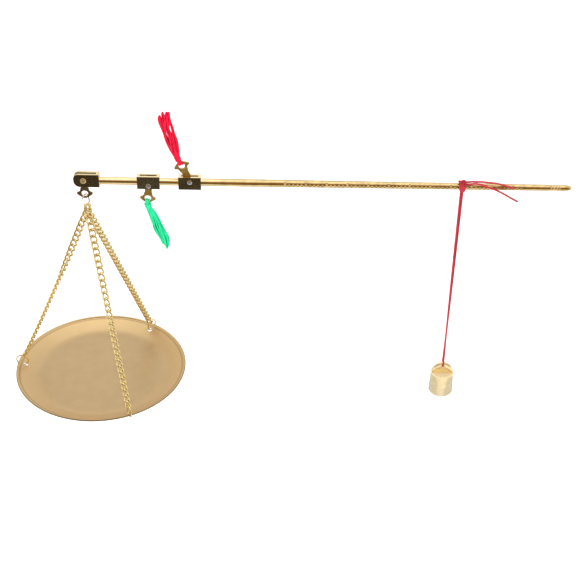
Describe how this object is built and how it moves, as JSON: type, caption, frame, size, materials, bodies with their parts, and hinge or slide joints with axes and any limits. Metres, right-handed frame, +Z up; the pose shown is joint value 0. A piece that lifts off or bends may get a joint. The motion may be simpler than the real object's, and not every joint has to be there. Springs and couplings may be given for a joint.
{
  "type": "steelyard balance",
  "caption": "Hand-held steelyard balance: gilt beam with two lug fulcrums and thread tassels, a chain-hung pan, and a small weight on a cord that slides along the graduated arm.",
  "frame": {"origin": "on the axis of the far fulcrum pin, in the middle plane of the beam: the point the balance hangs from when held by its far fulcrum", "axes": "+X along the beam towards its tip, +Z up, -Y towards the face with the graduations"},
  "size_m": [0.3753, 0.12, 0.2185],
  "materials": {
    "polished_gold": "mirror polished gilt",
    "chain_gold": "polished yellow gilt wire",
    "weight_gold": "polished pale gilt",
    "satin_gold": "satin gilt",
    "satin_brass": "satin brown brass",
    "dark_brass": "polished dark brass",
    "steel": "crushed rivet head, satin",
    "red_cord": "twisted waxed thread",
    "red_thread": "frayed bright thread",
    "green_thread": "frayed bright thread"
  },
  "bodies": {
    "beam": {"pan_fitting": "polished_gold", "pan_pivot_rivet": "polished_gold", "outer_rod": "polished_gold", "near_fulcrum_block": "polished_gold", "near_fulcrum_pin": "steel", "inner_rod": "polished_gold", "far_fulcrum_block": "polished_gold", "far_fulcrum_pin": "steel", "graduated_beam": "polished_gold"},
    "pan_hanger": {"pan_lug": "dark_brass"},
    "pan_set": {"gathering_link": "chain_gold", "left_chain": "chain_gold", "right_chain": "chain_gold", "front_chain": "chain_gold", "left_rim_ring": "chain_gold", "right_rim_ring": "chain_gold", "front_rim_ring": "chain_gold", "pan": "satin_gold"},
    "near_hanger": {"near_lug": "satin_brass", "green_tassel": "green_thread"},
    "far_hanger": {"far_lug": "satin_brass", "red_tassel": "red_thread"},
    "hitch": {"beam_hitch": "red_cord", "upper_cord_tail": "red_cord", "lower_cord_tail": "red_cord"},
    "hanging_cord": {"weight_cord": "red_cord"},
    "sliding_weight": {"weight": "weight_gold"}
  },
  "joints": [
    {"name": "far_lug_swing", "type": "hinge", "parent": "beam", "child": "far_hanger", "pos_m": [0, 0, 0], "axis": [0, 1, 0], "range_deg": [-10, 55]},
    {"name": "near_lug_swing", "type": "hinge", "parent": "beam", "child": "near_hanger", "pos_m": [-0.0266, 0, -0.0033], "axis": [0, 1, 0], "range_deg": [-46, 34]},
    {"name": "pan_lug_swing", "type": "hinge", "parent": "beam", "child": "pan_hanger", "pos_m": [-0.0683, 0, -0.0002], "axis": [0, 1, 0], "range_deg": [-32, 60]},
    {"name": "pan_sway", "type": "hinge", "parent": "pan_hanger", "child": "pan_set", "pos_m": [-0.0683, 0, -0.0114], "axis": [1, 0, 0], "range_deg": [-20, 20]},
    {"name": "weight_slide", "type": "slide", "parent": "beam", "child": "hitch", "axis": [1, 0, 0], "range_m": [-0.113, 0.037]},
    {"name": "cord_swing", "type": "hinge", "parent": "hitch", "child": "hanging_cord", "pos_m": [0.1751, 0, -0.00552], "axis": [0, 1, 0], "range_deg": [-25, 25]},
    {"name": "weight_swing", "type": "hinge", "parent": "hanging_cord", "child": "sliding_weight", "pos_m": [0.1751, 0, -0.1475], "axis": [0, 1, 0], "range_deg": [-40, 40]}
  ]
}
